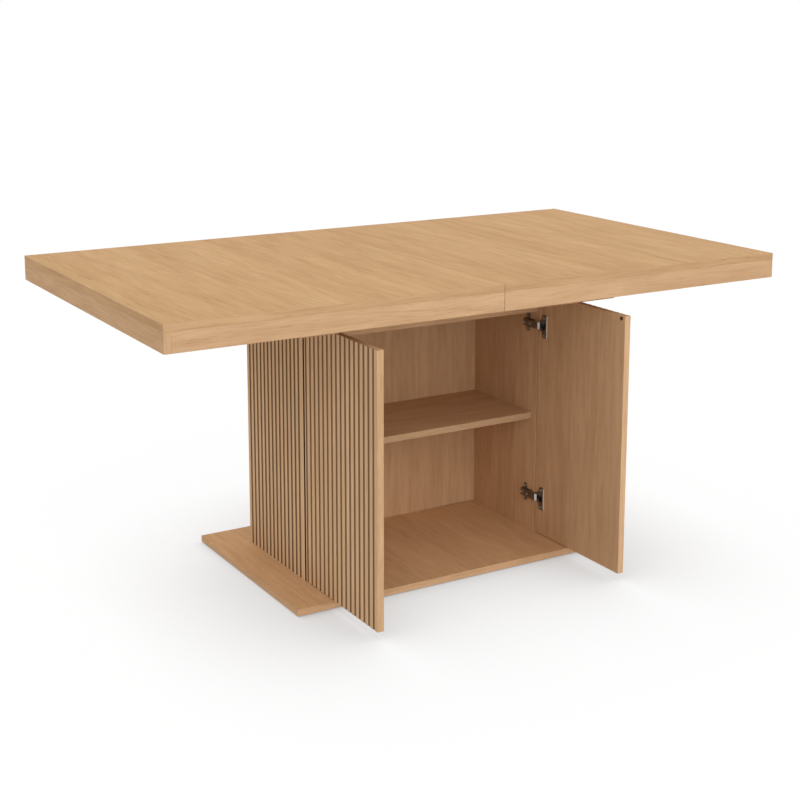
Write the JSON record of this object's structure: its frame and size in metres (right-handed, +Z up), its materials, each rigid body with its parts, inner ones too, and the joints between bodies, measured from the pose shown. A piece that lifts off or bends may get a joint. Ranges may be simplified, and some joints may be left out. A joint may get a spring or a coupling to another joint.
{
  "type": "extending kitchen table with storage cabinet",
  "caption": "Extending kitchen table: a top that parts in the middle on geared slides, on a grooved storage cabinet with swinging doors, a shelf and a flat base plate.",
  "frame": {"origin": "on the floor, under the middle of the table top and of the base plate", "axes": "+X along the table's length, -Y towards the doors, +Z up"},
  "size_m": [1.6, 0.923, 0.75],
  "materials": {
    "top_oak": "satin",
    "cabinet_oak": "satin",
    "beech": "matte",
    "hinge_steel": "satin",
    "screw_steel": "satin",
    "slide_aluminium": "satin",
    "grey_plastic": "matte",
    "brown_plastic": "matte",
    "glide_plastic": "matte",
    "felt": "matte"
  },
  "bodies": {
    "cabinet": {"back_panel": "cabinet_oak", "back_slide_rail": "slide_aluminium", "base_plate": "cabinet_oak", "base_screws": "screw_steel", "floor_glides": "glide_plastic", "front_rail": "cabinet_oak", "front_slide_rail": "slide_aluminium", "hinge_arm_screws": "screw_steel", "hinge_arms": "hinge_steel", "hinge_plate_screws": "screw_steel", "hinge_plates": "hinge_steel", "latch_housings": "grey_plastic", "leaf_hinge_pins": "hinge_steel", "leaf_hinge_plates": "hinge_steel", "leaf_lower_panel": "top_oak", "leaf_pads": "felt", "leaf_upper_panel": "top_oak", "left_side_panel": "cabinet_oak", "panel_dowels": "beech", "pinion_pins": "screw_steel", "right_side_panel": "cabinet_oak", "shelf": "cabinet_oak", "shelf_supports": "screw_steel", "slide_rail_screws": "screw_steel", "sub_top_plate": "cabinet_oak", "top_plate_screws": "screw_steel"},
    "left_door": {"left_door_panel": "cabinet_oak", "left_hinge_cups": "hinge_steel", "left_hinge_pins": "hinge_steel", "left_cup_screws": "screw_steel", "left_strike": "brown_plastic"},
    "left_top": {"left_top_panel": "top_oak", "left_end_apron": "top_oak", "left_front_apron": "top_oak", "left_back_apron": "top_oak", "left_corner_blocks": "beech", "left_apron_dowels": "beech", "left_runners": "slide_aluminium", "left_racks": "grey_plastic", "left_runner_screws": "screw_steel"},
    "left_plunger": {"left_plunger": "grey_plastic"},
    "right_door": {"right_door_panel": "cabinet_oak", "right_hinge_cups": "hinge_steel", "right_hinge_pins": "hinge_steel", "right_cup_screws": "screw_steel", "right_strike": "brown_plastic"},
    "right_top": {"right_top_panel": "top_oak", "right_end_apron": "top_oak", "right_front_apron": "top_oak", "right_back_apron": "top_oak", "right_corner_blocks": "beech", "right_apron_dowels": "beech", "right_runners": "slide_aluminium", "right_racks": "grey_plastic", "right_runner_screws": "screw_steel", "seam_dowels": "beech"},
    "right_plunger": {"right_plunger": "grey_plastic"},
    "front_pinion": {"front_pinion": "grey_plastic"},
    "back_pinion": {"back_pinion": "grey_plastic"}
  },
  "joints": [
    {"name": "left_door_swing", "type": "hinge", "parent": "cabinet", "child": "left_door", "pos_m": [-0.3295, -0.14501, 0.334], "axis": [0, 0, 1], "range_deg": [-5, 90]},
    {"name": "right_door_swing", "type": "hinge", "parent": "cabinet", "child": "right_door", "pos_m": [0.3295, -0.14501, 0.334], "axis": [0, 0, 1], "range_deg": [-90, 5]},
    {"name": "left_top_slide", "type": "slide", "parent": "cabinet", "child": "left_top", "axis": [-1, 0, 0], "range_m": [0, 0.2]},
    {"name": "right_top_slide", "type": "slide", "parent": "cabinet", "child": "right_top", "axis": [1, 0, 0], "range_m": [0, 0.2]},
    {"name": "front_pinion_turn", "type": "hinge", "parent": "cabinet", "child": "front_pinion", "pos_m": [0, -0.262, 0.673], "axis": [0, 0, 1], "range_deg": [-855, 5]},
    {"name": "back_pinion_turn", "type": "hinge", "parent": "cabinet", "child": "back_pinion", "pos_m": [0, 0.262, 0.673], "axis": [0, 0, 1], "range_deg": [-5, 855]},
    {"name": "left_plunger_slide", "type": "slide", "parent": "cabinet", "child": "left_plunger", "axis": [0, 1, 0], "range_m": [-0.016, 0.001]},
    {"name": "right_plunger_slide", "type": "slide", "parent": "cabinet", "child": "right_plunger", "axis": [0, -1, 0], "range_m": [-0.001, 0.016]}
  ],
  "couplings": [
    {"joint": "right_top_slide", "follows": "left_top_slide", "ratio": 1},
    {"joint": "front_pinion_turn", "follows": "left_top_slide", "rad_per_m": -74.074},
    {"joint": "back_pinion_turn", "follows": "left_top_slide", "rad_per_m": 74.074}
  ]
}
